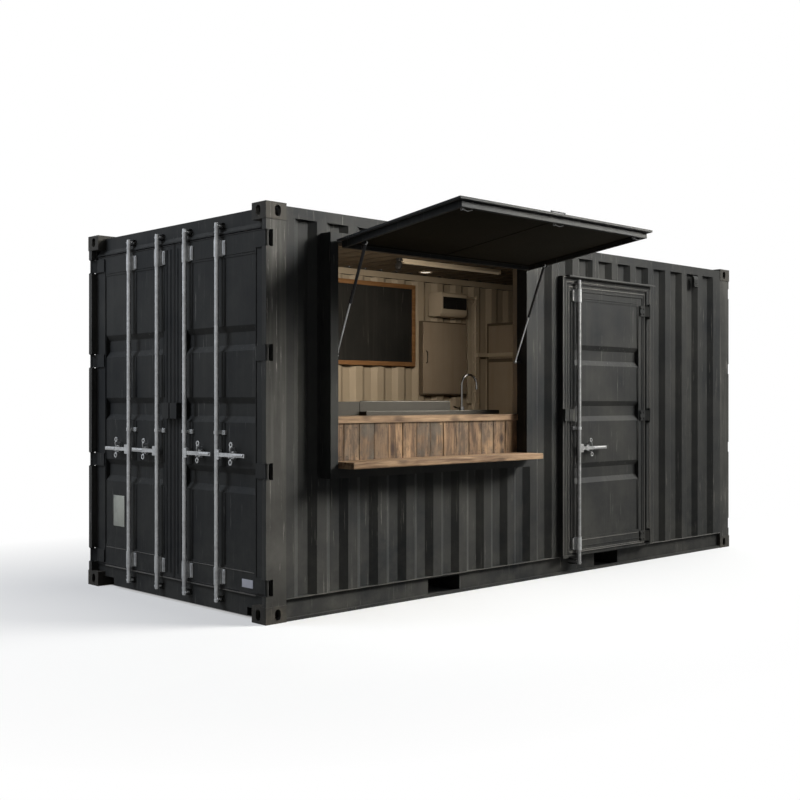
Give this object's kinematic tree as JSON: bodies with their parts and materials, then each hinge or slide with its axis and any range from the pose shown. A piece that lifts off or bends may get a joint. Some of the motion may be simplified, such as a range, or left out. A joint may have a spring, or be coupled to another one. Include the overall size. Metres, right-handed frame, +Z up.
{
  "type": "shipping container cabin",
  "caption": "High shipping container fitted out as a serving cabin, with a lift-up hatch, counter and ledge, a side door and cargo doors that open.",
  "frame": {"origin": "centre of the footprint, on the ground", "axes": "+X along the container towards the closed end, -Y out of the serving side, +Z up"},
  "size_m": [6.058, 3.7536, 2.896],
  "materials": {
    "dark_paint": "satin",
    "galvanised_steel": "matte",
    "plywood": "matte",
    "oiled_wood": "satin",
    "reclaimed_planks": "matte",
    "counter_board": "matte",
    "stainless_steel": "satin",
    "chrome": "polished",
    "chalkboard": "matte",
    "cream_plastic": "satin",
    "cream_paint": "satin",
    "black_paint": "gloss"
  },
  "bodies": {
    "container": {"corner_castings": "dark_paint", "corner_posts": "dark_paint", "top_side_rails": "dark_paint", "bottom_side_rails": "dark_paint", "door_header": "dark_paint", "door_sill": "dark_paint", "end_rails": "dark_paint", "floor": "plywood", "cross_members": "dark_paint", "fork_pockets": "dark_paint", "roof": "dark_paint", "end_wall": "dark_paint", "back_wall": "dark_paint", "front_wall_uprights": "dark_paint", "front_wall_infills": "dark_paint", "hatch_frame": "dark_paint", "serving_ledge": "oiled_wood", "counter_front": "reclaimed_planks", "counter_base": "counter_board", "counter_top": "oiled_wood", "sink_unit": "stainless_steel", "tap": "chrome", "doorway_frame": "dark_paint", "bar_keepers": "dark_paint", "menu_board": "chalkboard", "air_unit": "cream_plastic", "wall_cabinet": "cream_paint", "wall_conduit": "cream_paint", "tall_cupboard": "cream_paint", "ceiling_light": "cream_plastic"},
    "awning": {"awning_panel": "dark_paint", "awning_fittings": "dark_paint"},
    "strut_rods": {"strut_rods": "galvanised_steel"},
    "strut_cylinders": {"strut_cylinders": "black_paint"},
    "side_door": {"side_door": "dark_paint", "side_door_fittings": "galvanised_steel"},
    "side_lock_bar": {"side_lock_bar": "galvanised_steel"},
    "right_door": {"right_door": "dark_paint", "right_door_fittings": "galvanised_steel"},
    "left_door": {"left_door": "dark_paint", "left_door_fittings": "galvanised_steel"},
    "right_outer_bar": {"right_outer_bar": "galvanised_steel"},
    "right_inner_bar": {"right_inner_bar": "galvanised_steel"},
    "left_inner_bar": {"left_inner_bar": "galvanised_steel"},
    "left_outer_bar": {"left_outer_bar": "galvanised_steel"}
  },
  "joints": [
    {"name": "awning_hinge", "type": "hinge", "parent": "container", "child": "awning", "pos_m": [0, -1.338, 2.655], "axis": [-1, 0, 0], "range_deg": [-97.5, 0]},
    {"name": "strut_lean", "type": "hinge", "parent": "container", "child": "strut_rods", "pos_m": [0, -1.244, 1.854], "axis": [1, 0, 0], "range_deg": [-17.52, 0]},
    {"name": "strut_stroke", "type": "slide", "parent": "strut_rods", "child": "strut_cylinders", "axis": [0, -0.3714, 0.9285], "range_m": [-0.24963, 0]},
    {"name": "side_door_hinge", "type": "hinge", "parent": "container", "child": "side_door", "pos_m": [1.476, -1.273, 1.39], "axis": [0, 0, 1], "range_deg": [0, 165]},
    {"name": "right_door_hinge", "type": "hinge", "parent": "container", "child": "right_door", "pos_m": [-3.007, -1.197, 1.465], "axis": [0, 0, 1], "range_deg": [0, 195]},
    {"name": "left_door_hinge", "type": "hinge", "parent": "container", "child": "left_door", "pos_m": [-3.007, 1.197, 1.465], "axis": [0, 0, -1], "range_deg": [0, 255]},
    {"name": "side_lock_bar_turn", "type": "hinge", "parent": "side_door", "child": "side_lock_bar", "pos_m": [0.371, -1.283, 1.144], "axis": [0, 0, 1], "range_deg": [-100, 0]},
    {"name": "right_outer_bar_turn", "type": "hinge", "parent": "right_door", "child": "right_outer_bar", "pos_m": [-3.007, -0.606, 1.144], "axis": [0, 0, 1], "range_deg": [-100, 0]},
    {"name": "right_inner_bar_turn", "type": "hinge", "parent": "right_door", "child": "right_inner_bar", "pos_m": [-3.007, -0.19, 1.144], "axis": [0, 0, 1], "range_deg": [-100, 0]},
    {"name": "left_inner_bar_turn", "type": "hinge", "parent": "left_door", "child": "left_inner_bar", "pos_m": [-3.007, 0.19, 1.144], "axis": [0, 0, -1], "range_deg": [-100, 0]},
    {"name": "left_outer_bar_turn", "type": "hinge", "parent": "left_door", "child": "left_outer_bar", "pos_m": [-3.007, 0.606, 1.144], "axis": [0, 0, -1], "range_deg": [-100, 0]}
  ],
  "couplings": [
    {"joint": "strut_lean", "follows": "awning_hinge", "ratio": 0.17972},
    {"joint": "strut_stroke", "follows": "awning_hinge", "m_per_rad": 0.14669}
  ]
}
